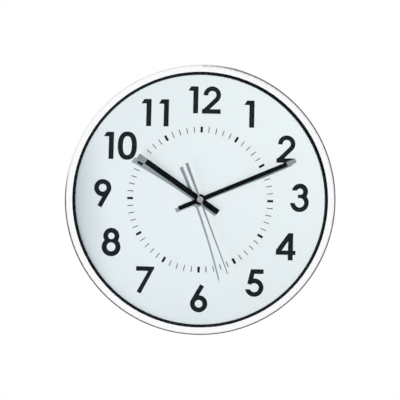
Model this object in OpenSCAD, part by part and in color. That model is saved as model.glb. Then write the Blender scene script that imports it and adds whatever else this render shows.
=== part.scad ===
// Round wall clock with a battery movement, laid out as it comes apart on a bench.
// All sizes are millimetres. The wall is the plane y = 0, the clock faces -y and 12 o'clock is up, +z.
// The origin is the centre of the wall keyhole's round entry, on the wall.
// Inside the modules x is to the viewer's right, y is up and z is the distance from the wall.

/* [Case ring] */
// Outer diameter of the case ring at the wall
case_d = 298.5; // [290:0.5:330]
// Depth of the case ring, from the wall to its crown
case_depth = 26.5; // [25:0.5:32]
// Wall thickness of the case ring
case_wall = 1.8; // [1.6:0.1:2.2]
// Draft of the side wall, in degrees
case_draft = 7; // [6:0.1:8]
// Radius of the crown's outer rounding
crown_round = 1.5; // [1:0.1:2.5]
// Width of the case ring seen from the front
rim_w = 10; // [9.5:0.25:13]
// Thickness of the lip that holds the lens
lip_t = 1.2; // [0.8:0.1:1.6]
// Height of the crown above the lip
crown_rise = 1.7; // [1.2:0.1:2.2]

/* [Lens] */
// Thickness of the front lens
lens_t = 1.6; // [1.2:0.1:2.2]
// Clearance between the hands and the lens
lens_clear = 0.8; // [0.5:0.1:3]
// Width of the lens edge behind the lip
lens_land = 1.5; // [1.2:0.1:1.7]

/* [Dial] */
// Sheet thickness of the dial
dial_t = 0.6; // [0.4:0.1:1]
// Rise of the dial dome above its flat edge
dial_rise = 11; // [8:0.5:11]
// Width of the black ring seen between lip and dial
ring_w = 3; // [1.5:0.25:4]
// Thickness of the black ring
ring_t = 1; // [0.6:0.1:1.6]

/* [Print] */
// Height of the numerals
digit_h = 29.6; // [24:0.2:31]
// Distance from the visible dial edge in to the circle of the numerals' centres
numeral_inset = 28.9; // [27:0.1:31]
// Distance from the visible dial edge in to the minute track's outer end
track_inset = 56.9; // [50:0.1:64]
// Length of the marks of the minute track
mark_len = 6.4; // [4:0.2:8]
// Width of the twelve hour marks
mark_w = 2.6; // [1.6:0.1:3]
// Width of the thin minute ticks
tick_w = 0.8; // [0.5:0.1:1.2]

/* [Hands] */
// Length of the hour hand from its axis
hour_len = 82.2; // [70:0.2:90]
// Width of the hour hand
hour_w = 6; // [4:0.1:8]
// Length of the hour hand's tail
hour_tail = 23.9; // [15:0.1:30]
// Length of the minute hand from its axis
minute_len = 112.3; // [100:0.1:118]
// Width of the minute hand
minute_w = 4.6; // [4:0.1:6]
// Length of the minute hand's tail
minute_tail = 25; // [15:0.5:30]
// Length of the grey tips of both hands
tip_len = 10.5; // [6:0.5:16]
// Length of the second hand from its axis
second_len = 85.7; // [70:0.1:95]
// Length of the second hand's counterweight
second_tail = 42.2; // [30:0.2:50]
// Width of the second hand at its tip
second_tip_w = 1.1; // [0.8:0.1:1.6]
// Width of the second hand at its axis
second_mid_w = 2; // [1.6:0.1:2.6]
// Width of the second hand's counterweight at its end
second_tail_w = 3.4; // [2.6:0.1:5]
// Sheet thickness of the hands
hand_t = 0.4; // [0.3:0.05:0.5]
// Diameter of the second hand's cap
cap_d = 6.9; // [5:0.1:9]
// Diameter of the round eye of the hour and minute hands
eye_d = 12; // [10:0.5:14]

/* [Movement] */
// Width and height of the square movement
mv_w = 56; // [56:0.5:60]
// Thickness of the movement's housing
mv_t = 16; // [16:0.5:18]
// Wall thickness of the movement's housing
mv_wall = 1.2; // [1:0.1:1.3]
// Diameter of the threaded centre stud
stud_d = 7.4; // [7:0.1:8]
// Thickness of the nut on the stud
nut_t = 1.1; // [0.8:0.1:1.4]
// Thickness of the rubber washer
washer_t = 1; // [0.6:0.1:1.4]
// Diameter of the rubber washer
washer_d = 20; // [14:1:30]
// Diameter of the setting knob
knob_d = 14; // [10:0.5:16]
// Thickness of the setting knob
knob_t = 3.2; // [2:0.2:4]

/* [Case back] */
// Thickness of the back plate
back_t = 2; // [1.6:0.1:2.4]
// Gap between the dial and the back plate behind its dome
dial_gap = 0.4; // [0.3:0.1:0.6]
// Radius of the flat pad that carries the movement
pad_r = 41; // [40.5:0.5:46]
// Height of the ribs behind the back plate
rib_h = 2; // [1:0.5:5]
// Number of ribs
rib_count = 12; // [6:1:16]
// Number of screws that hold the back plate
screw_count = 6; // [4:1:8]
// Diameter of the screw shanks
screw_d = 2; // [1.6:0.1:2.2]

/* [Wall hanger] */
// Height of the keyhole's entry above the centre of the clock
hanger_up = 105; // [98:1:108]
// Diameter of the keyhole's round entry
entry_d = 9; // [8:0.25:10]
// Width of the keyhole's slot
slot_w = 4.4; // [4:0.1:5]
// Height of the slot's end above the entry
slot_up = 9; // [7:0.5:10]
// Thickness of the hanger's walls
hanger_t = 2; // [1.6:0.1:2.6]
// Inner width of the hanger behind the keyhole
hanger_w = 20; // [16:0.5:24]

/* [Hidden] */
$fn = 96;

// Segments of the large turned parts and of the domes' long arcs
round_fn = 240;
dome_fn = 1440;
// A cut runs this far past the face that it opens
cut = 1;
// A straight edge that leaves a round one stands this far inside it
inset = 0.03;
// Radial clearance of a running fit, and of a pressed or seated fit
run_fit = 0.05;
seat_fit = 0.02;

// Distances from the wall, from the crown back through the clamped stack
lip_top_z = case_depth - crown_rise;
lens_front_z = lip_top_z - lip_t;
lens_back_z = lens_front_z - lens_t;
dial_front_z = lens_back_z - ring_t;
dial_back_z = dial_front_z - dial_t;
back_rim_z = dial_back_z - back_t;
apex_z = dial_front_z + dial_rise;

// Radii of the case ring and of what it holds
case_r = case_d / 2;
open_r = case_r - rim_w;
visible_r = open_r - ring_w;
stack_r = open_r + lens_land;
pocket_r = stack_r + 0.2;
pocket_wall = 1;
function outer_r(z) = case_r - z * tan(case_draft);
function inner_r(z) = outer_r(z) - case_wall;
groove_top_z = case_depth - case_wall - 1;
groove_out_r = inner_r(groove_top_z);
back_r = inner_r(dial_back_z) - 0.2;
boss_at_r = (pocket_r + inner_r(dial_back_z)) / 2;
boss_r = (inner_r(dial_back_z) - pocket_r) / 2 + 0.5;

// Sphere of the dial, through its flat edge and its apex
dial_sphere_r = (visible_r * visible_r + dial_rise * dial_rise) / (2 * dial_rise);
dial_sphere_z = apex_z - dial_sphere_r;
back_sphere_r = dial_sphere_r - dial_t - dial_gap;

// Wall hanger: the pocket behind its keyhole runs from its open lower end up to hanger_in_top
hanger_half = hanger_w / 2 + hanger_t;
hanger_low = hanger_up - entry_d / 2 - 8;
hanger_in_top = hanger_up + slot_up + entry_d / 2 + 2;
hanger_top = hanger_in_top + hanger_t;

// Print on the dial
ink_t = 0.06;
ink_lift = 0.01;
numeral_r = visible_r - numeral_inset;
track_out_r = visible_r - track_inset;
// Clock angle of each numeral, 12 first, and how far it stands outside the numerals' circle
numeral_turn = [0, 28.6, 58.3, 87.7, 117.5, 145.7, 179.5, 213.2, 243.2, 272.4, 302.1, 331.3];
numeral_out = [1.1, 0, 0.9, 0.9, -0.9, 0.6, 0, -1.3, 0, -1, -0.3, -0.7];
// Distance between the centres of the two digits of 10, 11 and 12
pair_step = [20.4, 19, 19.9];

// Hands at rest: clock angles, clockwise from 12
hour_turn = 304.1;
minute_turn = 66.5;
second_turn = 158.4;
// Heights of the hands over the top of the dial
hour_z = apex_z + nut_t + 0.4;
minute_z = hour_z + hand_t + 0.9;
second_z = minute_z + hand_t + 2;
cap_t = 1.2;

// Inner sphere of the lens, through its flat edge and past the second hand's tip
lens_pass_z = second_z + hand_t + lens_clear;
lens_sphere_z = (pow(second_len, 2) + pow(lens_pass_z, 2) - pow(visible_r, 2) - pow(lens_back_z, 2))
    / (2 * (lens_pass_z - lens_back_z));
lens_sphere_r = sqrt(pow(visible_r, 2) + pow(lens_back_z - lens_sphere_z, 2));
// The minute hand is bent down outside the hour hand, so that its tip clears the lens
lens_at_tip_z = lens_sphere_z + sqrt(pow(lens_sphere_r, 2) - pow(minute_len, 2));
minute_tip_z = min(minute_z, lens_at_tip_z - lens_clear - hand_t);
minute_bend_r = hour_len + 1.5;

// Movement: the faces of the housing and the depths of the train behind its front face
pad_z = dial_sphere_z + sqrt(pow(back_sphere_r - back_t, 2) - pad_r * pad_r);
mv_front_z = pad_z - washer_t;
mv_back_z = mv_front_z - mv_t;
wall_in_z = mv_front_z - mv_wall;
cover_t = 1.2;
cover_in_z = mv_back_z + cover_t;
corner_r = 3;
mv_half = mv_w / 2;
stud_r = stud_d / 2;
stud_top_z = apex_z + nut_t + 0.1;

// Radii of the three concentric arbors
seconds_arbor_r = 0.5;
minute_tube_r = 1.6;
hour_tube_r = 2.6;
pivot_r = 0.4;

// Tooth counts: 30, 5 and 60 to 1 in the going train, 12 to 1 in the motion work
rotor_n = 8;
inter_n = 48;
inter_pinion_n = 12;
seconds_n = 60;
seconds_pinion_n = 11;
third_n = 66;
third_pinion_n = 7;
minute_n = 70;
cannon_n = 15;
work_n = 45;
work_pinion_n = 12;
hour_n = 48;
knob_n = 18;
// Gear modules: of the rotor's mesh, the seconds wheel's, the third wheel's and the motion work's
rotor_m = 0.25;
seconds_m = 0.3;
third_m = 0.26;
work_m = 0.3;
// Tooth height over and under the pitch circle, in modules, and half widths in shares of the pitch
addendum = 0.9;
dedendum = 1.25;
wheel_root = 0.26;
wheel_tip = 0.1;
pinion_root = 0.22;
pinion_tip = 0.09;

// Centres of the train, from the hand axis, each by its angle and the sum of its pitch radii
function at(angle, r) = [r * cos(angle), r * sin(angle)];
function mesh_r(n_a, n_b, m) = (n_a + n_b) * m / 2;
inter_angle = 20;
rotor_angle = 60;
third_angle = 110;
work_angle = 200;
knob_angle = 150;
inter_at = at(inter_angle, mesh_r(inter_pinion_n, seconds_n, seconds_m));
rotor_at = inter_at + at(rotor_angle, mesh_r(rotor_n, inter_n, rotor_m));
third_at = at(third_angle, mesh_r(seconds_pinion_n, third_n, third_m));
work_at = at(work_angle, mesh_r(cannon_n, work_n, work_m));
knob_at = work_at + at(knob_angle, mesh_r(work_n, knob_n, work_m));

// Turn of a gear whose teeth mesh with a gear of n_a teeth that stands at turn_a, seen along angle
function meshed(n_a, turn_a, n_b, angle) =
    angle + 180 - (180 - n_a * (angle - turn_a)) / n_b;
inter_pinion_turn = meshed(seconds_n, 0, inter_pinion_n, inter_angle);
rotor_turn = meshed(inter_n, 0, rotor_n, rotor_angle);
third_turn = meshed(seconds_pinion_n, 0, third_n, third_angle);
third_pinion_turn = meshed(minute_n, 0, third_pinion_n, third_angle);
work_turn = meshed(cannon_n, 0, work_n, work_angle);
work_pinion_turn = meshed(hour_n, 0, work_pinion_n, work_angle);
knob_turn = meshed(work_n, work_turn, knob_n, knob_angle);

// Layers of the train, from the front wall of the housing back, each the front of its wheel
wheel_t = 0.7;
hour_wheel_z = wall_in_z - 0.4;
work_wheel_z = hour_wheel_z - wheel_t - 0.4;
minute_wheel_z = work_wheel_z - wheel_t - 0.5;
third_wheel_z = minute_wheel_z - wheel_t - 1.3;
seconds_wheel_z = third_wheel_z - wheel_t - 1.1;
inter_wheel_z = seconds_wheel_z - wheel_t - 1.3;
magnet_top_z = inter_wheel_z - wheel_t - 0.5;
magnet_t = 2;
stator_t = 1;
stator_top_z = magnet_top_z - 1.3;
bridge_top_z = stator_top_z - stator_t;
bridge_t = 1.2;
arbor_end_z = bridge_top_z - bridge_t + 0.1;

// Posts that carry the bridge and the circuit board, and the corners of the bridge
post_r = 1.5;
bridge_posts = [[14, -7], [2.6, 20], [-16, 9.5]];
bridge_corners = [[14, -7], [19.5, 9], [2.6, 20], [-16, 9.5], [-6, -6.5]];
board_post_r = 1.2;
board_posts = [[-20.5, 21.5], [-3, 24.5]];

// Battery bay along the bottom of the housing, and the cell in it
cell_r = 7.25;
cell_len = 49.5;
nub_r = 2.75;
nub_len = 1;
bay_clear = 0.3;
bay_floor_wall = 0.85;
cell_y = -mv_half + bay_floor_wall + cell_r;
cell_z = wall_in_z - cell_r - 0.1;
bay_top_y = cell_y + cell_r + bay_clear;
bay_wall = 1;
// Ends of the cell along x: the nub's face on the left, the flat end on the right
cell_right_x = mv_half - mv_wall - 1.2;
cell_left_x = cell_right_x - cell_len;

// Contact strips
strip_t = 0.4;
strip_gap = 0.2;
side_in_x = mv_half - mv_wall;
strip_h = 3;

// Circuit board
board_t = 1;
board_left = -mv_half + mv_wall + 1.3;
board_right = 0.5;
board_bottom = 19.3;
board_top = 26.5;
board_front_z = stator_top_z;
chip_at = [-9, 22.6];
chip_h = 1.2;
chip_sphere_r = 2.6;
crystal_r = 1;
crystal_x = -17.5;
crystal_y = 25.2;
crystal_len = 6;
crystal_leads = 2.5;

// Stator, coil and bobbin
stator_left = 5;
stator_right = 25;
stator_below = 4.5;
stator_arm_w = 3.5;
stator_top_y = 24.5;
rotor_hole_r = 4;
magnet_r = 3;
core_w = 3;
core_t = 1;
coil_y = stator_top_y - core_w / 2;
coil_z = stator_top_z + core_t / 2;
coil_flange_r = 3;
coil_core_r = 1.95;
coil_wound_r = 2.7;
coil_flange_t = 0.8;
coil_left = stator_left + stator_arm_w + 0.4;
coil_right = stator_right - stator_arm_w - 0.4;

// Everything is modelled around the hand axis and stood up against the wall here
module placed() {
    translate([0, 0, -hanger_up]) rotate([90, 0, 0]) children();
}

// A cylinder between two distances from the wall, at a place in the clock's plane
module rod(place, r, z0, z1) {
    translate([place[0], place[1], z0]) cylinder(r = r, h = z1 - z0);
}

// A flat bar between two corners, standing between two distances from the wall
module slab(x0, x1, y0, y1, z0, z1) {
    translate([x0, y0, z0]) cube([x1 - x0, y1 - y0, z1 - z0]);
}

// Section of a domed shell, from its outer sphere inwards, out to r_edge
module dome_section(sphere_r, sphere_z, t, r_edge, z_low) {
    intersection() {
        translate([0, sphere_z]) difference() {
            circle(r = sphere_r, $fn = dome_fn);
            circle(r = sphere_r - t, $fn = dome_fn);
        }
        translate([0, z_low]) square([r_edge, 2 * case_depth]);
    }
}

// Ring section between two radii and two distances from the wall
module ring_section(r0, r1, z0, z1) {
    translate([r0, z0]) square([r1 - r0, z1 - z0]);
}

// Section of the case ring: drafted wall, rounded crown and the slope down to the rounded lip
module case_section() {
    crown_z = case_depth - crown_round;
    tangent_z = crown_z + crown_round * sin(case_draft);
    crown_x = outer_r(tangent_z) - crown_round * cos(case_draft);
    lip_round = lip_t / 2;
    lip_x = open_r + lip_round;
    lip_z = lip_top_z - lip_round;
    span = sqrt(pow(lip_x - crown_x, 2) + pow(lip_z - crown_z, 2));
    slope = atan2(lip_z - crown_z, lip_x - crown_x) - acos((crown_round - lip_round) / span);
    difference() {
        union() {
            polygon([
                [open_r + inset, 0], [case_r, 0], [outer_r(tangent_z) - inset, tangent_z],
                [crown_x, crown_z] + at(slope, crown_round - inset),
                [lip_x, lip_z] + at(slope, lip_round - inset),
                [open_r + inset, lip_z]
            ]);
            translate([crown_x, crown_z]) circle(r = crown_round, $fn = 128);
            translate([lip_x, lip_z]) circle(r = lip_round, $fn = 64);
        }
        ring_section(0, pocket_r, -cut, lens_front_z);
        polygon([
            [pocket_r - cut, -cut], [inner_r(-cut), -cut],
            [inner_r(dial_back_z), dial_back_z], [pocket_r - cut, dial_back_z]
        ]);
    }
}

// Section of the groove that cores out the case ring behind its crown
module groove_section() {
    polygon([
        [pocket_r + pocket_wall, dial_back_z - cut], [groove_out_r, dial_back_z - cut],
        [groove_out_r, groove_top_z], [pocket_r + pocket_wall, groove_top_z]
    ]);
}

module around(count, r) {
    for (i = [0 : count - 1]) rotate([0, 0, 360 / count * (i + 0.5)]) translate([r, 0, 0]) children();
}

module case_ring() {
    color([0.96, 0.96, 0.96]) placed() difference() {
        rotate_extrude($fn = round_fn) case_section();
        difference() {
            rotate_extrude($fn = round_fn) groove_section();
            around(screw_count, boss_at_r) rod([0, 0], boss_r, dial_back_z - 2 * cut, case_depth);
        }
        around(screw_count, boss_at_r)
            rod([0, 0], screw_d / 2 - 0.2, dial_back_z - cut, groove_top_z - 0.5);
    }
}

module lens() {
    color([0.85, 0.93, 0.96, 0.3]) placed() rotate_extrude($fn = round_fn) {
        ring_section(visible_r, stack_r, lens_back_z, lens_front_z);
        dome_section(lens_sphere_r + lens_t, lens_sphere_z, lens_t, visible_r + 1, lens_back_z);
    }
}

module dial_ring() {
    edge = ring_t * 0.4;
    color([0.05, 0.05, 0.06]) placed() rotate_extrude($fn = round_fn) difference() {
        ring_section(visible_r, stack_r, dial_front_z, lens_back_z);
        polygon([
            [visible_r - cut, lens_back_z - edge - cut], [visible_r + edge + cut, lens_back_z + cut],
            [visible_r - cut, lens_back_z + cut]
        ]);
    }
}

module dial() {
    color([0.91, 0.95, 0.96]) placed() difference() {
        rotate_extrude($fn = round_fn) {
            ring_section(visible_r - 0.2, stack_r, dial_back_z, dial_front_z);
            dome_section(dial_sphere_r, dial_sphere_z, dial_t, visible_r, dial_back_z);
        }
        rod([0, 0], stud_r + 0.1, dial_back_z, apex_z + cut);
    }
}

// The print is a thin layer that follows the dome
module printed() {
    intersection() {
        translate([0, 0, dial_back_z]) linear_extrude(height = dial_rise + 2) children();
        translate([0, 0, dial_sphere_z]) difference() {
            sphere(r = dial_sphere_r + ink_lift + ink_t, $fn = dome_fn / 2);
            sphere(r = dial_sphere_r + ink_lift, $fn = dome_fn / 2);
        }
    }
}

// Digits, drawn at this cap height around the middle of their box, and their stroke widths
glyph_h = 29.6;
cap = glyph_h / 2;
stem = 5.4;
bar = 4.9;
// Strokes and cuts that run out past the glyph's edge reach this far
reach = 20;

module disc(place, r) {
    translate(place) circle(r = r, $fn = 96);
}

module digit_0() {
    function oval(a, b, n) = [for (t = [0 : 5 : 355])
        [a * sign(cos(t)) * pow(abs(cos(t)), 2 / n), b * sign(sin(t)) * pow(abs(sin(t)), 2 / n)]];
    difference() {
        polygon(oval(10.4, 15.4, 2.35));
        polygon(oval(4.9, 10.3, 2.35));
    }
}

module digit_1() {
    right = 5.5;
    flag_left = -5.5;
    flag_slant = 3.1;
    polygon([
        [right - stem, -cap], [right, -cap], [right, cap], [flag_left + flag_slant, cap],
        [flag_left, cap - bar], [right - stem, cap - bar]
    ]);
}

module digit_2() {
    bowl = [0.8, 5.75];
    out_r = 9.4;
    in_r = 4.45;
    half_w = 10.1;
    intersection() {
        union() {
            translate(bowl) {
                difference() {
                    circle(r = out_r, $fn = 96);
                    circle(r = in_r, $fn = 96);
                    polygon([[-reach, -0.6], [0, -0.6], [0, 0], [reach, -reach], [-reach, -reach]]);
                }
                rotate(-45) translate([in_r + inset, 0.3 - 2 * cap])
                    square([out_r - in_r - 2 * inset, 2 * cap]);
            }
            translate([-half_w, -cap]) square([2 * half_w, bar]);
        }
        translate([-half_w, -cap]) square([3 * half_w, 2 * cap + 1]);
    }
}

module digit_3() {
    upper = [0.35, 6.75];
    lower = [0.05, -5.35];
    difference() {
        union() {
            disc(upper, 8.8);
            disc(lower, 10.15);
        }
        disc(upper, 3.4);
        disc(lower, 5.15);
        translate([-reach, lower[1] - 0.4]) square([reach - 1.9, upper[1] - lower[1] + 1.5]);
    }
}

module digit_4() {
    stem_left = 2.4;
    bar_low = -8.9;
    bar_top = -4.25;
    half_w = 10.7;
    difference() {
        polygon([
            [stem_left, -cap], [stem_left + stem, -cap], [stem_left + stem, bar_low],
            [half_w, bar_low], [half_w, bar_top], [stem_left + stem, bar_top],
            [stem_left + stem, cap], [stem_left, cap], [-half_w, bar_top + 0.6],
            [-half_w, bar_low], [stem_left, bar_low]
        ]);
        polygon([[stem_left, 6], [stem_left, bar_top], [-4.4, bar_top]]);
    }
}

module digit_5() {
    bowl = [0.2, -5.3];
    right = 10;
    difference() {
        union() {
            difference() {
                disc(bowl, 10.05);
                translate([-reach, bowl[1] - 2]) square([reach - 3.5, 12]);
            }
            polygon([
                [-7.5, -0.9], [-3, -2.55], [-1.05, 4.4], [0.15, cap - bar - 0.1],
                [right, cap - bar - 0.1], [right, cap], [-3.9, cap]
            ]);
        }
        disc(bowl, 4.9);
    }
}

module digit_6() {
    bowl = [0, -6.1];
    out_r = 9.4;
    lean = 29;
    difference() {
        union() {
            disc(bowl, out_r);
            translate(bowl) rotate(-lean) translate([inset - out_r, 0]) square([bar, 19.4]);
        }
        disc(bowl, 4.2);
    }
}

module digit_7() {
    polygon([
        [-9.9, cap], [9.9, cap], [9.9, cap - 1.9], [-4.7, -cap - 0.3],
        [-8.9, -cap + 1.9], [3.4, cap - bar], [-9.9, cap - bar]
    ]);
}

module digit_8() {
    upper = [0.1, 6.7];
    lower = [0, -5.2];
    difference() {
        union() {
            disc(upper, 8.8);
            disc(lower, 10.3);
        }
        disc(upper, 3.5);
        disc(lower, 4.8);
    }
}

module digit(n) {
    scale(digit_h / glyph_h) {
        if (n == 0) digit_0();
        if (n == 1) digit_1();
        if (n == 2) digit_2();
        if (n == 3) digit_3();
        if (n == 4) digit_4();
        if (n == 5) digit_5();
        if (n == 6) digit_6();
        if (n == 7) digit_7();
        if (n == 8) digit_8();
        if (n == 9) rotate(180) digit_6();
    }
}

module hour_numerals() {
    color([0.1, 0.13, 0.15]) placed() printed() for (i = [0 : 11]) {
        hour = i == 0 ? 12 : i;
        place = at(90 - numeral_turn[i], numeral_r + numeral_out[i]);
        half_step = hour > 9 ? pair_step[hour - 10] * digit_h / glyph_h / 2 : 0;
        translate(place) {
            if (hour > 9) translate([-half_step, 0]) digit(1);
            translate([half_step, 0]) digit(hour % 10);
        }
    }
}

module minute_track() {
    color([0.12, 0.13, 0.14]) placed() printed() for (i = [0 : 59]) {
        w = i % 5 == 0 ? mark_w : tick_w;
        rotate(6 * i) translate([-w / 2, track_out_r - mark_len]) square([w, mark_len]);
    }
}

// Part of a hand between two radii, at one height at each end, pointing up before it is turned
module hand_part(r0, r1, z0, z1, w) {
    translate([w / 2, 0, 0]) rotate([0, -90, 0]) linear_extrude(height = w)
        polygon([[z0, r0], [z0 + hand_t, r0], [z1 + hand_t, r1], [z1, r1]]);
}

module hour_hand() {
    placed() rotate([0, 0, -hour_turn]) difference() {
        union() {
            color([0.04, 0.04, 0.05]) {
                hand_part(-hour_tail, hour_len - tip_len, hour_z, hour_z, hour_w);
                rod([0, 0], eye_d / 2, hour_z, hour_z + hand_t);
            }
            color([0.55, 0.57, 0.58]) hand_part(hour_len - tip_len, hour_len, hour_z, hour_z, hour_w);
        }
        rod([0, 0], hour_tube_r + seat_fit, hour_z - cut, hour_z + hand_t + cut);
    }
}

module minute_hand() {
    drop = (minute_z - minute_tip_z) / (minute_len - minute_bend_r);
    tip_z = minute_tip_z + drop * tip_len;
    placed() rotate([0, 0, -minute_turn]) difference() {
        union() {
            color([0.04, 0.04, 0.05]) {
                hand_part(-minute_tail, minute_bend_r, minute_z, minute_z, minute_w);
                hand_part(minute_bend_r, minute_len - tip_len, minute_z, tip_z, minute_w);
                rod([0, 0], eye_d / 2, minute_z, minute_z + hand_t);
            }
            color([0.55, 0.57, 0.58])
                hand_part(minute_len - tip_len, minute_len, tip_z, minute_tip_z, minute_w);
        }
        rod([0, 0], minute_tube_r + seat_fit, minute_z - cut, minute_z + hand_t + cut);
    }
}

module second_hand() {
    color([0.55, 0.57, 0.58]) placed() rotate([0, 0, -second_turn])
        translate([0, 0, second_z]) linear_extrude(height = hand_t) difference() {
            union() {
                polygon([
                    [-second_mid_w / 2, 0], [-second_tail_w / 2, -second_tail],
                    [second_tail_w / 2, -second_tail], [second_mid_w / 2, 0],
                    [second_tip_w / 2, second_len], [-second_tip_w / 2, second_len]
                ]);
                circle(r = cap_d / 2 - 0.2);
            }
            circle(r = 1.2 + seat_fit);
        }
}

// The cap closes the arbor's end, and its socket goes through the hand and over the arbor
module second_hand_cap() {
    socket_r = 1.2;
    cap_z = second_z + hand_t + seat_fit;
    color([0.65, 0.65, 0.67]) placed() difference() {
        union() {
            rod([0, 0], cap_d / 2, cap_z, cap_z + cap_t / 2);
            translate([0, 0, cap_z + cap_t / 2])
                cylinder(r1 = cap_d / 2, r2 = cap_d / 2 - 0.6, h = cap_t / 2);
            rod([0, 0], socket_r, second_z - 0.6, cap_z + 0.2);
        }
        rod([0, 0], seconds_arbor_r + seat_fit, second_z - 0.6 - cut, cap_z + cap_t / 2);
    }
}

module case_back() {
    plate_in_r = visible_r - 3;
    rib_out_r = visible_r - 6;
    rib_half = 0.8;
    rib_gap = 0.3;
    color([0.9, 0.9, 0.9]) placed() difference() {
        union() {
            rotate_extrude($fn = round_fn) {
                ring_section(plate_in_r, back_r, back_rim_z, dial_back_z);
                dome_section(back_sphere_r, dial_sphere_z, back_t, visible_r - 1.5, 0);
                ring_section(0, pad_r, pad_z, pad_z + back_t - 0.1);
            }
            intersection() {
                rotate_extrude($fn = round_fn) difference() {
                    dome_section(back_sphere_r - back_t / 2, dial_sphere_z, back_t / 2 + rib_h,
                        rib_out_r, 0);
                    square([pad_r - 1, 2 * case_depth]);
                }
                // Ribs stop short of the hanger
                difference() {
                    for (i = [0 : rib_count - 1]) rotate([0, 0, 360 / rib_count * (i + 0.5)])
                        slab(0, visible_r, -rib_half, rib_half, 0, apex_z);
                    slab(-hanger_half - rib_gap, hanger_half + rib_gap,
                        hanger_low - rib_gap, hanger_top + rib_gap, -cut, apex_z + cut);
                }
            }
        }
        rod([0, 0], stud_r + 0.2, 0, apex_z);
        around(screw_count, boss_at_r) rod([0, 0], screw_d / 2 + 0.1, back_rim_z - cut, dial_back_z + cut);
    }
}

// The hanger is seated on the back of the plate, whose sphere its edges follow
module wall_hanger() {
    color([0.9, 0.9, 0.9]) placed() difference() {
        intersection() {
            difference() {
                slab(-hanger_half, hanger_half, hanger_low, hanger_top, 0, apex_z);
                slab(-hanger_w / 2, hanger_w / 2, hanger_low - cut, hanger_in_top, hanger_t, apex_z + cut);
            }
            translate([0, 0, dial_sphere_z])
                sphere(r = back_sphere_r - back_t - seat_fit, $fn = dome_fn / 2);
        }
        rod([0, hanger_up], entry_d / 2, -cut, hanger_t + cut);
        rod([0, hanger_up + slot_up], slot_w / 2, -cut, hanger_t + cut);
        slab(-slot_w / 2, slot_w / 2, hanger_up, hanger_up + slot_up, -cut, hanger_t + cut);
    }
}

module case_screws() {
    head_t = 1.6;
    color([0.6, 0.6, 0.62]) placed() around(screw_count, boss_at_r) {
        difference() {
            rod([0, 0], screw_d / 2 + 0.9, back_rim_z - head_t, back_rim_z);
            slab(-1.3, 1.3, -0.25, 0.25, back_rim_z - head_t - cut, back_rim_z - head_t + 0.7);
            slab(-0.25, 0.25, -1.3, 1.3, back_rim_z - head_t - cut, back_rim_z - head_t + 0.7);
        }
        rod([0, 0], screw_d / 2 - 0.22, back_rim_z, groove_top_z - 1);
    }
}

// Outline of the housing with round corners
module housing_outline(half) {
    flat = half - corner_r;
    square([2 * half, 2 * flat], center = true);
    square([2 * flat, 2 * half], center = true);
    for (x = [-flat, flat], y = [-flat, flat]) disc([x, y], corner_r);
}

module movement_base() {
    pin_gap = 0.2;
    third_boss_z = minute_wheel_z + 0.9;
    inter_boss_z = seconds_wheel_z + 1.3;
    rotor_boss_z = inter_wheel_z + 1.6;
    color([0.12, 0.12, 0.13]) placed() difference() {
        union() {
            difference() {
                translate([0, 0, mv_back_z]) linear_extrude(height = mv_t) housing_outline(mv_half);
                // Train side
                slab(-side_in_x, side_in_x, bay_top_y + bay_wall, side_in_x, mv_back_z - cut, wall_in_z);
                slab(-mv_half - cut, mv_half + cut, bay_top_y, mv_half + cut, mv_back_z - cut, cover_in_z);
                // Battery side
                slab(-side_in_x, side_in_x, cell_y - cell_r - 0.1, bay_top_y, mv_back_z - cut, wall_in_z);
                // Passages of the contact strips beside the bay's wall
                for (side = [-1, 1]) translate([side * (side_in_x - 0.5), bay_top_y + bay_wall / 2, 0])
                    slab(-0.5, 0.5, -bay_wall, bay_wall, mv_back_z - cut, wall_in_z);
            }
            rod([0, 0], stud_r, wall_in_z, stud_top_z);
            for (place = bridge_posts) rod(place, post_r, bridge_top_z, wall_in_z + seat_fit);
            for (place = board_posts) rod(place, board_post_r, board_front_z, wall_in_z + seat_fit);
            rod(third_at, 1.2, third_boss_z, wall_in_z + seat_fit);
            rod(inter_at, 1, inter_boss_z, wall_in_z + seat_fit);
            rod(rotor_at, 1.2, rotor_boss_z, wall_in_z + seat_fit);
            rod(work_at, 0.9, minute_wheel_z + pin_gap, wall_in_z + seat_fit);
            rod(knob_at, 1.6, hour_wheel_z - 0.5, wall_in_z + seat_fit);
        }
        rod([0, 0], hour_tube_r + run_fit, wall_in_z - cut, stud_top_z + cut);
        rod(third_at, pivot_r + run_fit, third_boss_z - cut, third_boss_z + 1.4);
        rod(inter_at, pivot_r + run_fit, inter_boss_z - cut, inter_boss_z + 1.6);
        rod(rotor_at, pivot_r + run_fit, rotor_boss_z - cut, rotor_boss_z + 1.6);
        rod(knob_at, 0.8 + run_fit, hour_wheel_z - 0.5 - cut, hour_wheel_z + 0.3);
    }
}

module movement_cover() {
    color([0.14, 0.14, 0.15]) placed() difference() {
        translate([0, 0, mv_back_z]) linear_extrude(height = cover_t) intersection() {
            housing_outline(mv_half);
            translate([-mv_half, bay_top_y]) square([mv_w, mv_w]);
        }
        rod(knob_at, 1.2 + run_fit, mv_back_z - cut, cover_in_z + cut);
    }
}

module train_bridge() {
    color([0.85, 0.85, 0.82]) placed() translate([0, 0, bridge_top_z - bridge_t])
        linear_extrude(height = bridge_t) difference() {
            union() {
                polygon(bridge_corners);
                for (place = bridge_corners) disc(place, 2.6);
            }
            disc([0, 0], seconds_arbor_r + run_fit);
            for (place = [third_at, inter_at, rotor_at]) disc(place, pivot_r + run_fit);
        }
}

module centre_nut() {
    flats = stud_d + 3;
    color([0.8, 0.66, 0.33]) placed() difference() {
        translate([0, 0, apex_z]) cylinder(d = flats / cos(30), h = nut_t, $fn = 6);
        rod([0, 0], stud_r + seat_fit, apex_z - cut, apex_z + nut_t + cut);
    }
}

module rubber_washer() {
    color([0.08, 0.08, 0.08]) placed() difference() {
        rod([0, 0], washer_d / 2, mv_front_z, pad_z);
        rod([0, 0], stud_r + 0.15, mv_front_z - cut, pad_z + cut);
    }
}

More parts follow.
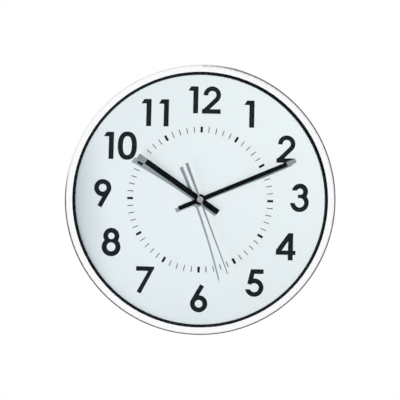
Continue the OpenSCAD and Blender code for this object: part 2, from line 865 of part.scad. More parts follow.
module aa_battery() {
    color([0.2, 0.45, 0.6]) placed() translate([0, cell_y, cell_z]) rotate([0, 90, 0]) {
        rod([0, 0], cell_r, cell_left_x, cell_right_x);
        rod([0, 0], nub_r, cell_left_x - nub_len, cell_left_x);
    }
}

module battery_contact_plus() {
    left = -side_in_x + strip_gap;
    z0 = board_front_z;
    color([0.75, 0.75, 0.72]) placed() {
        slab(left, left + strip_t, cell_y - 4, board_top - 2, z0, cell_z + 2);
        slab(left, board_left + 1, board_top - 2 - strip_h, board_top - 2, z0, z0 + strip_t);
        translate([left, cell_y, cell_z]) rotate([0, 90, 0])
            cylinder(r = 2, h = cell_left_x - nub_len - left);
    }
}

module battery_contact_minus() {
    right = side_in_x - strip_gap;
    run_y = bay_top_y + bay_wall + 0.1;
    left = board_left - 0.1;
    z0 = board_front_z - strip_h / 2;
    color([0.75, 0.75, 0.72]) placed() {
        slab(right - strip_t, right, cell_y - 4, run_y + strip_t, z0, cell_z + 2);
        slab(left, right, run_y, run_y + strip_t, z0, z0 + strip_h);
        slab(left, left + strip_t, run_y, board_bottom - 0.1, z0, z0 + strip_h);
        translate([cell_right_x, cell_y, cell_z]) rotate([0, 90, 0])
            cylinder(r = 3, h = right - cell_right_x);
    }
}

module circuit_board() {
    color([0.2, 0.4, 0.25]) placed()
        slab(board_left, board_right, board_bottom, board_top, board_front_z - board_t, board_front_z);
}

module chip_cap() {
    color([0.05, 0.05, 0.05]) placed() intersection() {
        translate([chip_at[0], chip_at[1], board_front_z + chip_h - chip_sphere_r])
            sphere(r = chip_sphere_r);
        rod(chip_at, chip_sphere_r, board_front_z, board_front_z + 2);
    }
}

module quartz_crystal() {
    color([0.75, 0.76, 0.78]) placed() translate([crystal_x, crystal_y, board_front_z + crystal_r]) {
        rotate([0, 90, 0]) cylinder(r = crystal_r, h = crystal_len);
        for (y = [-0.35, 0.35]) translate([crystal_len, y, 0]) rotate([0, 90, 0])
            cylinder(r = 0.15, h = crystal_leads, $fn = 24);
    }
}

module coil_core() {
    color([0.6, 0.6, 0.62]) placed()
        slab(stator_left, stator_right, stator_top_y - core_w, stator_top_y,
            stator_top_z, stator_top_z + core_t);
}

module coil_bobbin() {
    color([0.92, 0.9, 0.84]) placed() difference() {
        translate([coil_left, coil_y, coil_z]) rotate([0, 90, 0]) {
            cylinder(r = coil_core_r, h = coil_right - coil_left);
            cylinder(r = coil_flange_r, h = coil_flange_t);
            translate([0, 0, coil_right - coil_left - coil_flange_t])
                cylinder(r = coil_flange_r, h = coil_flange_t);
        }
        slab(coil_left - cut, coil_right + cut, coil_y - core_w / 2 - 0.1, coil_y + core_w / 2 + 0.1,
            coil_z - core_t / 2 - 0.1, coil_z + core_t / 2 + 0.1);
    }
}

module coil_winding() {
    gap = 0.05;
    color([0.72, 0.4, 0.2]) placed() translate([coil_left + coil_flange_t + gap, coil_y, coil_z])
        rotate([0, 90, 0]) difference() {
            cylinder(r = coil_wound_r, h = coil_right - coil_left - 2 * (coil_flange_t + gap));
            translate([0, 0, -cut])
                cylinder(r = coil_core_r + seat_fit, h = coil_right - coil_left + 2 * cut);
        }
}

module stator() {
    low_y = rotor_at[1] - stator_below;
    arm_y = rotor_at[1] + stator_below;
    color([0.62, 0.62, 0.64]) placed() translate([0, 0, stator_top_z - stator_t])
        linear_extrude(height = stator_t) difference() {
            translate([stator_left, low_y]) square([stator_right - stator_left, stator_top_y - low_y]);
            translate([stator_left + stator_arm_w, arm_y])
                square([stator_right - stator_left - 2 * stator_arm_w, stator_top_y]);
            disc(rotor_at, rotor_hole_r);
            for (a = [45, 225]) disc(rotor_at + at(a, rotor_hole_r), 0.5);
        }
}

// Outline of a toothed wheel: straight flanks from root to tip, thin enough to leave backlash
module toothed(n, m, turn, root, tip) {
    r_pitch = n * m / 2;
    profile = [[r_pitch - dedendum * m, -root], [r_pitch + addendum * m, -tip],
        [r_pitch + addendum * m, tip], [r_pitch - dedendum * m, root]];
    polygon([for (i = [0 : n - 1]) for (p = profile) at(turn + 360 / n * (i + p[1]), p[0])]);
}

module wheel(n, m, turn, z0, z1) {
    translate([0, 0, z0]) linear_extrude(height = z1 - z0) toothed(n, m, turn, wheel_root, wheel_tip);
}

module pinion(n, m, turn, z0, z1) {
    translate([0, 0, z0]) linear_extrude(height = z1 - z0) toothed(n, m, turn, pinion_root, pinion_tip);
}

module rotor() {
    color([0.35, 0.35, 0.38]) placed() translate([rotor_at[0], rotor_at[1], 0]) {
        rod([0, 0], magnet_r, magnet_top_z - magnet_t, magnet_top_z);
        pinion(rotor_n, rotor_m, rotor_turn, magnet_top_z + 0.1, inter_wheel_z + 0.4);
        rod([0, 0], pivot_r, arbor_end_z, inter_wheel_z + 2.9);
    }
}

module intermediate_wheel() {
    color([0.93, 0.9, 0.8]) placed() translate([inter_at[0], inter_at[1], 0]) {
        wheel(inter_n, rotor_m, 0, inter_wheel_z - wheel_t, inter_wheel_z);
        pinion(inter_pinion_n, seconds_m, inter_pinion_turn, inter_wheel_z - seat_fit,
            seconds_wheel_z + 0.3);
        rod([0, 0], pivot_r, arbor_end_z, seconds_wheel_z + 2.5);
    }
}

module seconds_wheel() {
    color([0.93, 0.9, 0.8]) placed() {
        wheel(seconds_n, seconds_m, 0, seconds_wheel_z - wheel_t, seconds_wheel_z);
        pinion(seconds_pinion_n, third_m, 0, seconds_wheel_z - seat_fit, third_wheel_z + 0.4);
        rod([0, 0], seconds_arbor_r, arbor_end_z, second_z + hand_t + cap_t / 2 - 0.1);
    }
}

module third_wheel() {
    color([0.93, 0.9, 0.8]) placed() translate([third_at[0], third_at[1], 0]) {
        wheel(third_n, third_m, third_turn, third_wheel_z - wheel_t, third_wheel_z);
        pinion(third_pinion_n, third_m, third_pinion_turn, third_wheel_z - seat_fit, minute_wheel_z + 0.2);
        rod([0, 0], pivot_r, arbor_end_z, minute_wheel_z + 1.9);
    }
}

module minute_wheel() {
    color([0.93, 0.9, 0.8]) placed() difference() {
        union() {
            wheel(minute_n, third_m, 0, minute_wheel_z - wheel_t, minute_wheel_z);
            pinion(cannon_n, work_m, 0, minute_wheel_z - seat_fit, work_wheel_z);
            rod([0, 0], minute_tube_r, minute_wheel_z - wheel_t, minute_z + hand_t + 0.2);
        }
        rod([0, 0], seconds_arbor_r + run_fit, minute_wheel_z - wheel_t - cut, minute_z + hand_t + cut);
    }
}

module minute_work_wheel() {
    color([0.93, 0.9, 0.8]) placed() translate([work_at[0], work_at[1], 0]) difference() {
        union() {
            wheel(work_n, work_m, work_turn, work_wheel_z - wheel_t, work_wheel_z);
            pinion(work_pinion_n, work_m, work_pinion_turn, work_wheel_z - seat_fit, hour_wheel_z);
        }
        rod([0, 0], 0.9 + run_fit, work_wheel_z - wheel_t - cut, hour_wheel_z + cut);
    }
}

module hour_wheel() {
    color([0.93, 0.9, 0.8]) placed() difference() {
        union() {
            wheel(hour_n, work_m, 0, hour_wheel_z - wheel_t, hour_wheel_z);
            rod([0, 0], hour_tube_r, hour_wheel_z - wheel_t, hour_z + hand_t + 0.3);
        }
        rod([0, 0], minute_tube_r + run_fit, hour_wheel_z - wheel_t - cut, hour_z + hand_t + cut);
    }
}

module set_knob() {
    gap = 0.4;
    notches = 24;
    knob_top_z = mv_back_z - gap;
    color([0.15, 0.15, 0.16]) placed() translate([knob_at[0], knob_at[1], 0]) {
        translate([0, 0, knob_top_z - knob_t]) linear_extrude(height = knob_t) difference() {
            circle(r = knob_d / 2);
            for (i = [0 : notches - 1]) disc(at(360 / notches * i, knob_d / 2 + 0.2), 0.5);
        }
        rod([0, 0], 1.2, knob_top_z - seat_fit, work_wheel_z - wheel_t);
        pinion(knob_n, work_m, knob_turn, work_wheel_z - wheel_t - 0.1, work_wheel_z + 0.1);
        rod([0, 0], 0.8, work_wheel_z, hour_wheel_z + 0.1);
    }
}

case_ring();
lens();
dial_ring();
dial();
hour_numerals();
minute_track();
hour_hand();
minute_hand();
second_hand();
second_hand_cap();
case_back();
wall_hanger();
case_screws();
movement_base();
movement_cover();
train_bridge();
centre_nut();
rubber_washer();
aa_battery();
battery_contact_plus();
battery_contact_minus();
circuit_board();
chip_cap();
quartz_crystal();
coil_core();
coil_bobbin();
coil_winding();
stator();
rotor();
intermediate_wheel();
seconds_wheel();
third_wheel();
minute_wheel();
minute_work_wheel();
hour_wheel();
set_knob();
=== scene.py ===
"""Round wall clock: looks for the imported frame, a plain pale studio and the photograph's camera."""

import math

import bpy
from mathutils import Matrix, Vector


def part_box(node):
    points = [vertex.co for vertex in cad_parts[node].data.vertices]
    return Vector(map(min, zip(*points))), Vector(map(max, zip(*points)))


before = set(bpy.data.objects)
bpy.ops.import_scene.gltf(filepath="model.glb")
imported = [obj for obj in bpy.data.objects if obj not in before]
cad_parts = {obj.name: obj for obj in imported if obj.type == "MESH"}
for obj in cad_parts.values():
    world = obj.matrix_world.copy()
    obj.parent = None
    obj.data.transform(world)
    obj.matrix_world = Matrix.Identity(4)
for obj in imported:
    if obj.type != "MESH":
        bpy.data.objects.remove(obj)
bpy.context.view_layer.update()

# The clock's centre on the wall plane, in metres; the dial faces -Y and 12 o'clock is +Z
CENTRE = Vector((0.0, 0.0, -0.105))
OUTWARD = Vector((0.0, -1.0, 0.0))
MICRON = 0.000001

# The case's side wall lies past this radius and nearer to the wall than this depth
SIDE_RADIUS = 0.1441
SIDE_DEPTH = 0.0250
SIDE_EDGE = 0.0001
# Clock angles of the hands at rest, and the distances from their axis at which the grey tips begin
HOUR_TURN = 304.1
HOUR_TIP = 0.0717
MINUTE_TURN = 66.5
MINUTE_TIP = 0.1018
TIP_EDGE = 0.00015
# The battery has bare metal at both ends and a coppery band behind its positive end
CELL_CAP = 0.00195
CELL_CAP_EDGE = 0.00015
CELL_BAND = 0.0150
CELL_BAND_EDGE = 0.0002
CELL_FOOT = 0.0011
CELL_FOOT_EDGE = 0.0001

CASE_WHITE = (0.95, 0.95, 0.95)
CASE_SOIL = (0.86, 0.86, 0.85)
SIDE_SILVER = (0.80, 0.79, 0.79)
RING_BLACK = (0.010, 0.013, 0.016)
DIAL_WHITE = (0.80, 0.872, 0.903)
DIAL_SOIL = (0.62, 0.69, 0.72)
NUMERAL_BLACK = (0.0095, 0.0125, 0.016)
TRACK_BLACK = (0.0095, 0.0115, 0.014)
HAND_BLACK = (0.0015, 0.0022, 0.003)
HAND_SOIL = (0.12, 0.12, 0.12)
TIP_GREY = (0.272, 0.286, 0.300)
SECOND_GREY = (0.262, 0.276, 0.292)
CAP_GREY = (0.42, 0.41, 0.43)
LENS_TINT = (0.985, 0.99, 0.99)
LENS_MIRROR = (0.9, 0.92, 0.93)
BACK_WHITE = (0.70, 0.70, 0.68)
MOVEMENT_BLACK = (0.018, 0.018, 0.020)
WHEEL_CREAM = (0.80, 0.76, 0.64)
BRIDGE_CREAM = (0.66, 0.64, 0.56)
BOBBIN_CREAM = (0.78, 0.75, 0.66)
RUBBER_BLACK = (0.02, 0.02, 0.02)
RESIN_BLACK = (0.012, 0.012, 0.012)
BOARD_GREEN = (0.02, 0.14, 0.06)
TRACK_GREEN = (0.05, 0.30, 0.12)
SLEEVE_BLUE = (0.03, 0.10, 0.20)
SLEEVE_COPPER = (0.55, 0.27, 0.10)
SLEEVE_SOIL = (0.3, 0.3, 0.3)
CELL_METAL = (0.62, 0.62, 0.60)
COIL_COPPER = (0.48, 0.17, 0.06)
BRASS = (0.78, 0.58, 0.24)
ZINC = (0.62, 0.62, 0.63)
NICKEL = (0.72, 0.70, 0.66)
CAN_METAL = (0.78, 0.78, 0.80)
SOFT_IRON = (0.50, 0.50, 0.52)
MAGNET_GREY = (0.16, 0.16, 0.18)


def clock_direction(degrees):
    """Unit vector in the dial's plane at a clock angle, clockwise from 12."""
    a = math.radians(degrees)
    return Vector((math.sin(a), 0.0, math.cos(a)))


def scaled(color, share, lift=0.0):
    """A colour made darker or lighter."""
    return [c * share + lift for c in color]


def feed(tree, socket, value):
    """Links an output to a socket, or sets a plain value on it."""
    if isinstance(value, bpy.types.NodeSocket):
        tree.links.new(value, socket)
    else:
        socket.default_value = value


def add_node(tree, kind, inputs, **settings):
    """Adds a shader node with its settings, and feeds its inputs, which are given by name or number."""
    n = tree.nodes.new(kind)
    for key, value in settings.items():
        setattr(n, key, value)
    for key, value in inputs.items():
        feed(tree, n.inputs[key], value)
    return n


def add_ramp(tree, value, low, high, to_low=0.0, to_high=1.0):
    """Maps low..high to to_low..to_high, and holds the end values outside."""
    inputs = {"Value": value, "From Min": low, "From Max": high, "To Min": to_low, "To Max": to_high}
    return add_node(tree, "ShaderNodeMapRange", inputs).outputs["Result"]


class Shade:
    """A procedural material on one Principled shader, with small helpers for its node tree."""

    def __init__(self, name, color, roughness, metallic=0.0, coat=0.0, specular=0.5):
        self.mat = bpy.data.materials.new(name)
        self.mat.use_nodes = True
        self.tree = self.mat.node_tree
        self.bsdf = self.tree.nodes["Principled BSDF"]
        self.set("Roughness", roughness)
        self.set("Metallic", metallic)
        self.set("Coat Weight", coat)
        self.set("Coat Roughness", 0.08)
        self.set("Specular IOR Level", specular)
        self.color = (*color, 1.0)
        self.coord = self.node("ShaderNodeTexCoord", {}).outputs["Object"]

    def set(self, socket, value):
        feed(self.tree, self.bsdf.inputs[socket], value)

    def node(self, kind, inputs, **settings):
        return add_node(self.tree, kind, inputs, **settings)

    def math(self, operation, a, b):
        return self.node("ShaderNodeMath", {0: a, 1: b}, operation=operation).outputs[0]

    def vector_math(self, operation, a, b):
        return self.node("ShaderNodeVectorMath", {0: a, 1: b}, operation=operation)

    def noise(self, scale, detail=3.0, stretch=(1.0, 1.0, 1.0)):
        mapping = self.node("ShaderNodeMapping", {"Scale": stretch, "Vector": self.coord})
        inputs = {"Scale": scale, "Detail": detail, "Vector": mapping.outputs[0]}
        return self.node("ShaderNodeTexNoise", inputs).outputs["Fac"]

    def ramp(self, value, low, high, to_low=0.0, to_high=1.0):
        return add_ramp(self.tree, value, low, high, to_low, to_high)

    def past(self, value, limit, edge):
        """0 below the limit and 1 above it, with an edge of this half width."""
        return self.ramp(value, limit - edge, limit + edge)

    def below(self, value, limit, edge):
        """1 below the limit and 0 above it, with an edge of this half width."""
        return self.ramp(value, limit - edge, limit + edge, 1.0, 0.0)

    def offset(self, origin):
        """Offset of the shaded point from a place."""
        return self.vector_math("SUBTRACT", self.coord, origin).outputs[0]

    def along(self, direction, origin=CENTRE):
        """Distance of the shaded point from origin along a direction, in metres."""
        return self.vector_math("DOT_PRODUCT", self.offset(origin), direction).outputs["Value"]

    def from_axis(self):
        """Distance of the shaded point from the hands' axis, in metres."""
        flat = self.vector_math("MULTIPLY", self.offset(CENTRE), (1.0, 0.0, 1.0)).outputs[0]
        return self.node("ShaderNodeVectorMath", {0: flat}, operation="LENGTH").outputs["Value"]

    def mix(self, factor, color):
        """Mixes another colour over the present one."""
        inputs = {"Factor": factor, "A": self.color, "B": (*color, 1.0)}
        self.color = self.node("ShaderNodeMix", inputs, data_type="RGBA").outputs["Result"]

    def wear(self, scale, amount, tint, rough=0.0):
        """Faint soiling, and gloss that varies by rough to both sides."""
        spots = self.ramp(self.noise(scale, detail=5.0), 0.5, 0.75, 0.0, amount)
        self.mix(spots, tint)
        if rough:
            base = self.bsdf.inputs["Roughness"].default_value
            self.set("Roughness", self.ramp(self.noise(scale * 1.7), 0.3, 0.7, base - rough, base + rough))

    def bump(self, height, distance):
        n = self.node("ShaderNodeBump", {"Distance": distance, "Height": height})
        self.set("Normal", n.outputs["Normal"])

    def done(self):
        self.set("Base Color", self.color)
        return self.mat


def moulded(name, color, roughness, grain=900.0, depth=20 * MICRON, soil=0.05, coat=0.0, specular=0.5):
    """Injection moulded plastic: fine grain and faint soiling."""
    s = Shade(name, color, roughness, coat=coat, specular=specular)
    s.wear(scale=35.0, amount=soil, tint=scaled(color, 0.72), rough=0.04)
    s.bump(s.noise(grain, detail=2.0), depth)
    return s.done()


def case_plastic():
    """White gloss moulding whose side wall, from the wall up to the crown, is silvered and polished."""
    s = Shade("white_case", CASE_WHITE, roughness=0.22, coat=0.3)
    s.wear(scale=35.0, amount=0.02, tint=CASE_SOIL)
    outside = s.past(s.from_axis(), SIDE_RADIUS, SIDE_EDGE)
    under_crown = s.below(s.along(OUTWARD), SIDE_DEPTH, SIDE_EDGE)
    side = s.math("MULTIPLY", outside, under_crown)
    s.mix(side, SIDE_SILVER)
    s.set("Metallic", side)
    gloss = s.ramp(s.noise(60.0), 0.3, 0.7, 0.18, 0.26)
    polish = s.ramp(side, 0.0, 1.0, 1.0, 0.3)
    s.set("Roughness", s.math("MULTIPLY", gloss, polish))
    s.bump(s.noise(900.0, detail=2.0), 6 * MICRON)
    return s.done()


def metal(name, color, roughness, grain=600.0, stretch=(1.0, 1.0, 1.0)):
    """Rolled or drawn metal with grain and a little tarnish."""
    s = Shade(name, color, roughness, metallic=1.0)
    s.wear(scale=220.0, amount=0.12, tint=scaled(color, 0.5), rough=0.06)
    s.bump(s.noise(grain, stretch=stretch), 15 * MICRON)
    return s.done()


def lacquered_hand(name, color, turn=0.0, tip_from=None):
    """Lacquered sheet; past tip_from along the hand's clock angle it is grey."""
    s = Shade(name, color, roughness=0.42, specular=0.05)
    if tip_from is not None:
        s.mix(s.past(s.along(clock_direction(turn)), tip_from, TIP_EDGE), TIP_GREY)
    s.wear(scale=180.0, amount=0.03, tint=HAND_SOIL, rough=0.04)
    s.bump(s.noise(1500.0, detail=2.0), 6 * MICRON)
    return s.done()


def dial_paint():
    """Matt pale bluish white, hardly uneven."""
    s = Shade("dial_paint", DIAL_WHITE, roughness=0.62, specular=0.25)
    s.wear(scale=9.0, amount=0.03, tint=DIAL_SOIL)
    s.bump(s.noise(2200.0, detail=2.0), 6 * MICRON)
    return s.done()


def ink(name, color):
    """Matt printing ink."""
    s = Shade(name, color, roughness=0.5, specular=0.08)
    s.wear(scale=300.0, amount=0.1, tint=scaled(color, 1.8, lift=0.004))
    s.bump(s.noise(1800.0, detail=2.0), 4 * MICRON)
    return s.done()


def clear_lens():
    """Clear plastic with a few fine scratches, and a weak mirror that grows at grazing angles."""
    mat = bpy.data.materials.new("clear_lens")
    mat.use_nodes = True
    tree = mat.node_tree
    tree.nodes.clear()
    coord = add_node(tree, "ShaderNodeTexCoord", {})
    inputs = {"Scale": 70.0, "Detail": 6.0, "Vector": coord.outputs["Object"]}
    scratches = add_node(tree, "ShaderNodeTexNoise", inputs)
    bump = add_node(tree, "ShaderNodeBump", {"Distance": 4 * MICRON, "Height": scratches.outputs["Fac"]})
    through = add_node(tree, "ShaderNodeBsdfTransparent", {"Color": (*LENS_TINT, 1.0)})
    inputs = {"Roughness": 0.04, "Color": (*LENS_MIRROR, 1.0), "Normal": bump.outputs["Normal"]}
    mirror = add_node(tree, "ShaderNodeBsdfGlossy", inputs)
    # Share that is mirrored: a little head on, rising with the fifth power of one minus the cosine
    facing = add_node(tree, "ShaderNodeLayerWeight", {"Blend": 0.5})
    rise = add_node(tree, "ShaderNodeMath", {0: facing.outputs["Facing"], 1: 5.0}, operation="POWER")
    share = add_ramp(tree, rise.outputs[0], 0.0, 1.0, to_low=0.001)
    mix = add_node(tree, "ShaderNodeMixShader", {0: share, 1: through.outputs[0], 2: mirror.outputs[0]})
    add_node(tree, "ShaderNodeOutputMaterial", {"Surface": mix.outputs[0]})
    return mat


def cell_sleeve():
    """Printed sleeve of the battery, with its coppery band and its bare ends."""
    low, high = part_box("aa_battery")
    s = Shade("cell_sleeve", SLEEVE_BLUE, roughness=0.35, metallic=0.2, coat=0.4)
    x = s.along(Vector((1, 0, 0)), Vector((low.x, 0, 0)))
    s.mix(s.below(x, CELL_BAND, CELL_BAND_EDGE), SLEEVE_COPPER)
    s.mix(s.below(x, CELL_CAP, CELL_CAP_EDGE), CELL_METAL)
    s.mix(s.past(x, high.x - low.x - CELL_FOOT, CELL_FOOT_EDGE), CELL_METAL)
    s.wear(scale=260.0, amount=0.15, tint=SLEEVE_SOIL, rough=0.05)
    s.bump(s.noise(500.0), 10 * MICRON)
    return s.done()


def wound_wire():
    """Enamelled copper turns around the coil's axis."""
    s = Shade("wound_wire", COIL_COPPER, roughness=0.3, metallic=0.9, coat=0.5)
    inputs = {"Scale": 1600.0, "Distortion": 0.6, "Vector": s.coord}
    turns = s.node("ShaderNodeTexWave", inputs, bands_direction="X")
    s.bump(turns.outputs["Fac"], 40 * MICRON)
    return s.done()


def board_mask():
    """Green solder mask with brighter tracks under it."""
    s = Shade("board_mask", BOARD_GREEN, roughness=0.3, coat=0.3)
    black = (0, 0, 0, 1)
    white = (1, 1, 1, 1)
    upright = s.node("ShaderNodeMapping", {"Rotation": (math.radians(90), 0, 0), "Vector": s.coord})
    inputs = {"Scale": 160.0, "Mortar Size": 0.03, "Color1": black, "Color2": black, "Mortar": white,
              "Vector": upright.outputs[0]}
    tracks = s.node("ShaderNodeTexBrick", inputs)
    s.mix(tracks.outputs["Color"], TRACK_GREEN)
    s.bump(tracks.outputs["Fac"], 20 * MICRON)
    return s.done()


movement_plastic = moulded("movement_plastic", MOVEMENT_BLACK, roughness=0.55, grain=1400.0,
                           depth=30 * MICRON, soil=0.2)
wheel_plastic = moulded("wheel_plastic", WHEEL_CREAM, roughness=0.3, soil=0.1)
back_plastic = moulded("back_plastic", BACK_WHITE, roughness=0.5, grain=700.0, depth=40 * MICRON, soil=0.12)
contact_metal = metal("contact_metal", NICKEL, roughness=0.25)
core_metal = metal("core_metal", SOFT_IRON, roughness=0.38, stretch=(1.0, 1.0, 8.0))

LOOKS = {
    "case_ring": case_plastic(),
    "lens": clear_lens(),
    "dial_ring": moulded("black_ring", RING_BLACK, roughness=0.4, soil=0.1, specular=0.08),
    "dial": dial_paint(),
    "hour_numerals": ink("numeral_ink", NUMERAL_BLACK),
    "minute_track": ink("track_ink", TRACK_BLACK),
    "hour_hand": lacquered_hand("hour_lacquer", HAND_BLACK, HOUR_TURN, HOUR_TIP),
    "minute_hand": lacquered_hand("minute_lacquer", HAND_BLACK, MINUTE_TURN, MINUTE_TIP),
    "second_hand": lacquered_hand("second_lacquer", SECOND_GREY),
    "second_hand_cap": metal("cap_metal", CAP_GREY, roughness=0.4, grain=2500.0),
    "case_back": back_plastic,
    "wall_hanger": back_plastic,
    "case_screws": metal("screw_zinc", ZINC, roughness=0.3),
    "movement_base": movement_plastic,
    "movement_cover": movement_plastic,
    "train_bridge": moulded("bridge_plastic", BRIDGE_CREAM, roughness=0.45, soil=0.08),
    "centre_nut": metal("nut_brass", BRASS, roughness=0.28),
    "rubber_washer": moulded("washer_rubber", RUBBER_BLACK, roughness=0.8, grain=500.0,
                             depth=50 * MICRON, soil=0.2),
    "aa_battery": cell_sleeve(),
    "battery_contact_plus": contact_metal,
    "battery_contact_minus": contact_metal,
    "circuit_board": board_mask(),
    "chip_cap": moulded("chip_resin", RESIN_BLACK, roughness=0.2, coat=0.3),
    "quartz_crystal": metal("crystal_can", CAN_METAL, roughness=0.22),
    "coil_core": core_metal,
    "coil_bobbin": moulded("bobbin_plastic", BOBBIN_CREAM, roughness=0.4),
    "coil_winding": wound_wire(),
    "stator": core_metal,
    "rotor": metal("magnet", MAGNET_GREY, roughness=0.45),
    "intermediate_wheel": wheel_plastic,
    "seconds_wheel": wheel_plastic,
    "third_wheel": wheel_plastic,
    "minute_wheel": wheel_plastic,
    "minute_work_wheel": wheel_plastic,
    "hour_wheel": wheel_plastic,
    "set_knob": movement_plastic,
}

for name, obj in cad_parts.items():
    obj.data.materials.clear()
    obj.data.materials.append(LOOKS[name])


FLOOR_PLACE = (0.0, -0.5, -0.75)
FLOOR_GREY = (0.8, 0.8, 0.8)
FLOOR_SOIL = (0.74, 0.74, 0.74)
FLOOR_GLOW = (1.0, 0.95, 0.93)
FLOOR_GLOW_LEVEL = 0.62

# Direction from the clock to the main light, read from the shadows of the hands
KEY_SIDE = (0.596, -0.656, 0.460)
# The key is aimed far past the clock, so that the other edge of its cone falls on the dial's left edge
KEY_AIM = CENTRE + Vector((4.271, 0.0, 1.822))
KEY_CONE = 128.67
KEY_BLEND = 0.00155

AMBIENT = (0.157, 0.200, 0.220)
# What the side wall mirrors from straight behind the clock
BEHIND_DIM = (0.125, 0.100, 0.095)
# A mirrored ray turns from dim to white as its cosine with UP_LEFT or with OUTWARD rises through a range
UP_LEFT = (-0.616, 0.0, 0.788)
UP_LEFT_RANGE = (0.112, 0.137)
OUTWARD_RANGE = (-0.93, -0.86)

SENSOR_MM = 36.0
PICTURE_PX = 400.0


def floor():
    """A plain pale floor well below the hanging clock."""
    bpy.ops.mesh.primitive_plane_add(size=6.0, location=FLOOR_PLACE)
    plane = bpy.context.object
    plane.name = "studio_floor"
    s = Shade("studio_floor", FLOOR_GREY, roughness=0.8)
    s.wear(scale=2.0, amount=0.02, tint=FLOOR_SOIL)
    # It looks pale to camera and mirrored rays, and throws no more light on the object than its paint does
    path = s.node("ShaderNodeLightPath", {})
    mirrored = s.math("ADD", path.outputs["Is Glossy Ray"], path.outputs["Is Transmission Ray"])
    seen = s.math("ADD", path.outputs["Is Camera Ray"], mirrored)
    s.set("Emission Color", (*FLOOR_GLOW, 1.0))
    s.set("Emission Strength", s.math("MULTIPLY", seen, FLOOR_GLOW_LEVEL))
    plane.data.materials.append(s.done())


def hang(data, towards, distance, aim=CENTRE):
    """Places a lamp in a direction from the clock's centre and points it; it leaves no mirror image."""
    obj = bpy.data.objects.new(data.name, data)
    bpy.context.scene.collection.objects.link(obj)
    obj.location = CENTRE + Vector(towards).normalized() * distance
    obj.rotation_euler = (aim - obj.location).to_track_quat("-Z", "Y").to_euler()
    obj.visible_glossy = False
    obj.visible_camera = False
    return obj


def soft_lamp(name, towards, distance, size, power, color):
    """A square soft lamp."""
    data = bpy.data.lights.new(name, "AREA")
    data.size = size
    data.energy = power
    data.color = color
    return hang(data, towards, distance)


def spot_lamp(name, towards, distance, radius, power, color, aim, cone, blend):
    """A small round lamp with a soft-edged cone of light."""
    data = bpy.data.lights.new(name, "SPOT")
    data.shadow_soft_size = radius
    data.energy = power
    data.color = color
    data.spot_size = math.radians(cone)
    data.spot_blend = blend
    return hang(data, towards, distance, aim)


def light_only(name, lamps, receivers):
    """Lets the lamps light only the given objects."""
    group = bpy.data.collections.new(name)
    for obj in receivers:
        group.objects.link(obj)
    for lamp in lamps:
        lamp.light_linking.receiver_collection = group


def lamps():
    """Hangs all lamps: for the face, for the white case and for the clock's back."""
    key = spot_lamp("key", KEY_SIDE, distance=5.0, radius=0.02, power=1055.0,
                    color=(1.0, 0.929, 0.886), aim=KEY_AIM, cone=KEY_CONE, blend=KEY_BLEND)
    fill = soft_lamp("fill", (-0.750, -0.500, -0.430), distance=0.6, size=0.4, power=1.50,
                     color=(1.0, 0.96, 0.98))
    # The white case has lamps of its own, which light it evenly all round
    case_key = soft_lamp("case_key", KEY_SIDE, distance=2.4, size=0.3, power=8.0,
                         color=(1.0, 0.98, 0.96))
    case_soft = soft_lamp("case_soft", (-0.12, -1.0, -0.16), distance=2.0, size=1.0, power=36.5,
                          color=(1.0, 0.965, 0.95))
    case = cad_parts["case_ring"]
    others = [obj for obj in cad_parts.values() if obj is not case]
    light_only("case_lit", [case_key, case_soft], [case])
    light_only("face_lit", [key, fill], others)
    # Two lamps behind the clock light its back and reach nothing that faces the front
    soft_lamp("back_key", (-0.55, 0.72, 0.42), distance=1.2, size=0.5, power=9.5,
              color=(1.0, 0.97, 0.94))
    soft_lamp("back_fill", (0.60, 0.70, -0.30), distance=1.2, size=0.8, power=4.5,
              color=(0.93, 0.97, 1.0))


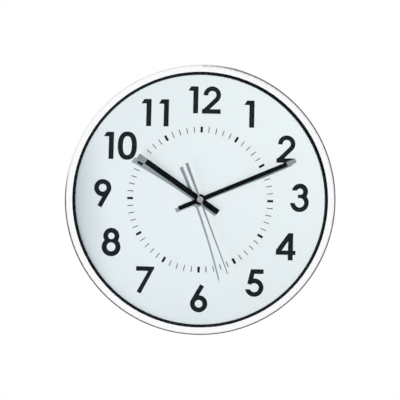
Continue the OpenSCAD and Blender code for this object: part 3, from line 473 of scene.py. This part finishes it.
def surroundings():
    """Dim light all round; camera and mirrored rays see plain white.

    Only mirrored rays that run straight behind the clock see a dim colour, except at the upper left.
    """
    world = bpy.data.worlds.new("surroundings")
    bpy.context.scene.world = world
    world.use_nodes = True
    tree = world.node_tree
    tree.nodes.clear()
    coord = add_node(tree, "ShaderNodeTexCoord", {})
    path = add_node(tree, "ShaderNodeLightPath", {})

    def towards(direction, low, high):
        """0 to 1 as the looked-at direction turns towards the given one."""
        inputs = {0: coord.outputs["Generated"], 1: direction}
        cosine = add_node(tree, "ShaderNodeVectorMath", inputs, operation="DOT_PRODUCT")
        return add_ramp(tree, cosine.outputs["Value"], low, high)

    def combined(operation, a, b):
        return add_node(tree, "ShaderNodeMath", {0: a, 1: b}, operation=operation).outputs[0]

    backdrop = combined("MAXIMUM", towards(UP_LEFT, *UP_LEFT_RANGE), towards(OUTWARD, *OUTWARD_RANGE))
    mirrored = combined("ADD", path.outputs["Is Glossy Ray"], path.outputs["Is Transmission Ray"])
    shown = combined("ADD", path.outputs["Is Camera Ray"], combined("MULTIPLY", mirrored, backdrop))
    inputs = {"Factor": mirrored, "A": (*AMBIENT, 1.0), "B": (*BEHIND_DIM, 1.0)}
    tint = add_node(tree, "ShaderNodeMix", inputs, data_type="RGBA")
    light = add_node(tree, "ShaderNodeBackground", {"Color": tint.outputs["Result"]})
    white = add_node(tree, "ShaderNodeBackground", {"Color": (1.0, 1.0, 1.0, 1.0)})
    mix = add_node(tree, "ShaderNodeMixShader", {0: shown, 1: light.outputs[0], 2: white.outputs[0]})
    add_node(tree, "ShaderNodeOutputWorld", {"Surface": mix.outputs[0]})


def camera(distance, roll, focal, centre_px):
    """The photograph's view: square on to the dial, with a small roll and the centre at centre_px."""
    data = bpy.data.cameras.new("camera")
    data.sensor_width = SENSOR_MM
    data.lens = focal
    obj = bpy.data.objects.new("camera", data)
    bpy.context.scene.collection.objects.link(obj)
    place = CENTRE + OUTWARD * distance
    look = (CENTRE - place).normalized()
    rolled = Matrix.Rotation(math.radians(roll), 3, "Z")
    turn = look.to_track_quat("-Z", "Y").to_matrix() @ rolled
    per_px = SENSOR_MM / (focal * PICTURE_PX)
    aside = (PICTURE_PX / 2 - centre_px[0]) * per_px
    up = (centre_px[1] - PICTURE_PX / 2) * per_px
    aim = turn @ Vector((aside, up, -1.0))
    turn = aim.to_track_quat("-Z", "Y").to_matrix() @ rolled
    obj.matrix_world = Matrix.Translation(place) @ turn.to_4x4()
    bpy.context.scene.camera = obj


floor()
surroundings()
lamps()
camera(distance=2.0, roll=1.3, focal=163.3, centre_px=(200.15, 199.6))

bpy.context.scene.view_settings.view_transform = "Standard"
